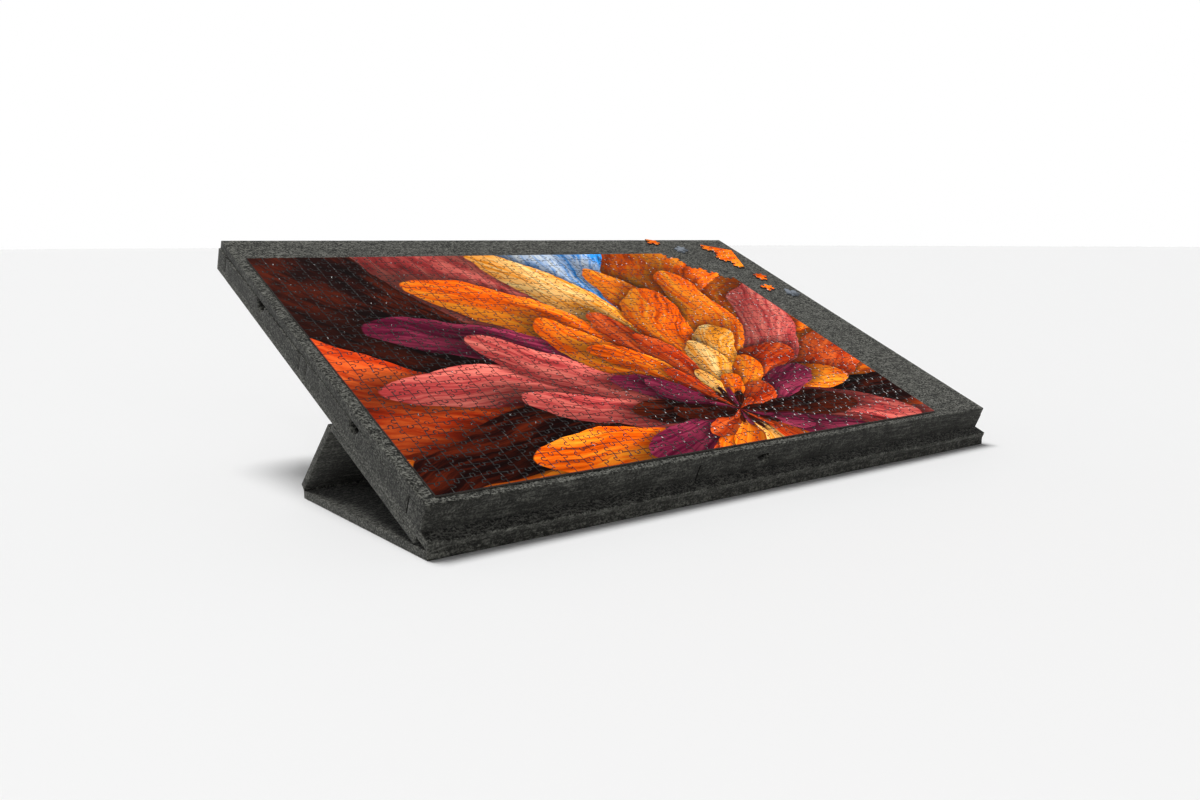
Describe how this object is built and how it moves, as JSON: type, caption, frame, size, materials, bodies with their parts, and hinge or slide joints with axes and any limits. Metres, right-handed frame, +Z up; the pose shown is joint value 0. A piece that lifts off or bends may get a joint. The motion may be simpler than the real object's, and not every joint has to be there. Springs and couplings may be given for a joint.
{
  "type": "jigsaw puzzle board",
  "caption": "Sloping felt board for doing a jigsaw puzzle, on a folding felt stand, with shallow sorting drawers in its edges and an almost finished puzzle on top.",
  "frame": {"origin": "on the table, under the middle of the space that the board and its stand take up", "axes": "+X along the board's width, to the right of the person who uses it; +Y away from that person; +Z up"},
  "size_m": [0.8, 0.5082, 0.2629],
  "materials": {
    "surface_felt": "matte",
    "sheet_felt": "matte",
    "core_felt": "matte",
    "drawer_felt": "matte",
    "tray_felt": "matte",
    "stand_felt": "matte",
    "fold_felt": "matte",
    "printed_card": "satin",
    "card_back": "matte"
  },
  "bodies": {
    "stand_base": {"base_panel": "stand_felt", "front_fold": "fold_felt", "rear_fold": "fold_felt"},
    "board": {"top_sheet": "surface_felt", "bottom_sheet": "sheet_felt", "front_left_rail": "core_felt", "front_right_rail": "core_felt", "back_rail": "core_felt", "left_divider": "core_felt", "right_divider": "core_felt", "left_spine": "core_felt", "right_spine": "core_felt", "centre_core": "core_felt"},
    "prop": {"prop_panel": "stand_felt", "top_fold": "fold_felt"},
    "strut": {"strut_panel": "stand_felt"},
    "left_front_drawer": {"left_front_drawer_front": "drawer_felt", "left_front_drawer_tray": "tray_felt"},
    "left_rear_drawer": {"left_rear_drawer_front": "drawer_felt", "left_rear_drawer_tray": "tray_felt"},
    "right_front_drawer": {"right_front_drawer_front": "drawer_felt", "right_front_drawer_tray": "tray_felt"},
    "right_rear_drawer": {"right_rear_drawer_front": "drawer_felt", "right_rear_drawer_tray": "tray_felt"},
    "front_drawer": {"front_drawer_front": "drawer_felt", "front_drawer_tray": "tray_felt"},
    "puzzle": {"puzzle": "printed_card"},
    "puzzle_corner": {"puzzle_corner": "printed_card"},
    "loose_piece_1": {"loose_piece_1": "printed_card"},
    "loose_piece_2": {"loose_piece_2": "card_back"},
    "loose_piece_3": {"loose_piece_3": "printed_card"},
    "loose_piece_4": {"loose_piece_4": "printed_card"},
    "loose_piece_5": {"loose_piece_5": "card_back"}
  },
  "joints": [
    {"name": "board_tilt", "type": "hinge", "parent": "stand_base", "child": "board", "pos_m": [0, -0.25086, 0.008], "axis": [1, 0, 0], "range_deg": [0, 40]},
    {"name": "prop_fold", "type": "hinge", "parent": "stand_base", "child": "prop", "pos_m": [0, 0.01414, 0.008], "axis": [1, 0, 0], "range_deg": [-60, 0]},
    {"name": "strut_fold", "type": "hinge", "parent": "prop", "child": "strut", "pos_m": [0, -0.06165, 0.08139], "axis": [1, 0, 0], "range_deg": [0, 69.2]},
    {"name": "left_front_drawer_slide", "type": "slide", "parent": "board", "child": "left_front_drawer", "axis": [-1, 0, 0], "range_m": [0, 0.2]},
    {"name": "left_rear_drawer_slide", "type": "slide", "parent": "board", "child": "left_rear_drawer", "axis": [-1, 0, 0], "range_m": [0, 0.2]},
    {"name": "right_front_drawer_slide", "type": "slide", "parent": "board", "child": "right_front_drawer", "axis": [1, 0, 0], "range_m": [0, 0.2]},
    {"name": "right_rear_drawer_slide", "type": "slide", "parent": "board", "child": "right_rear_drawer", "axis": [1, 0, 0], "range_m": [0, 0.2]},
    {"name": "front_drawer_slide", "type": "slide", "parent": "board", "child": "front_drawer", "axis": [0, -0.9164, -0.4003], "range_m": [0, 0.045]},
    {"name": "puzzle_lift", "type": "slide", "parent": "board", "child": "puzzle", "axis": [0, -0.4003, 0.9164], "range_m": [0, 0.03]},
    {"name": "puzzle_corner_lift", "type": "slide", "parent": "board", "child": "puzzle_corner", "axis": [0, -0.4003, 0.9164], "range_m": [0, 0.03]},
    {"name": "loose_piece_1_lift", "type": "slide", "parent": "board", "child": "loose_piece_1", "axis": [0, -0.4003, 0.9164], "range_m": [0, 0.03]},
    {"name": "loose_piece_2_lift", "type": "slide", "parent": "board", "child": "loose_piece_2", "axis": [0, -0.4003, 0.9164], "range_m": [0, 0.03]},
    {"name": "loose_piece_3_lift", "type": "slide", "parent": "board", "child": "loose_piece_3", "axis": [0, -0.4003, 0.9164], "range_m": [0, 0.03]},
    {"name": "loose_piece_4_lift", "type": "slide", "parent": "board", "child": "loose_piece_4", "axis": [0, -0.4003, 0.9164], "range_m": [0, 0.03]},
    {"name": "loose_piece_5_lift", "type": "slide", "parent": "board", "child": "loose_piece_5", "axis": [0, -0.4003, 0.9164], "range_m": [0, 0.03]}
  ],
  "couplings": [
    {"joint": "prop_fold", "follows": "board_tilt", "ratio": -1.5},
    {"joint": "strut_fold", "follows": "board_tilt", "ratio": 1.73}
  ]
}
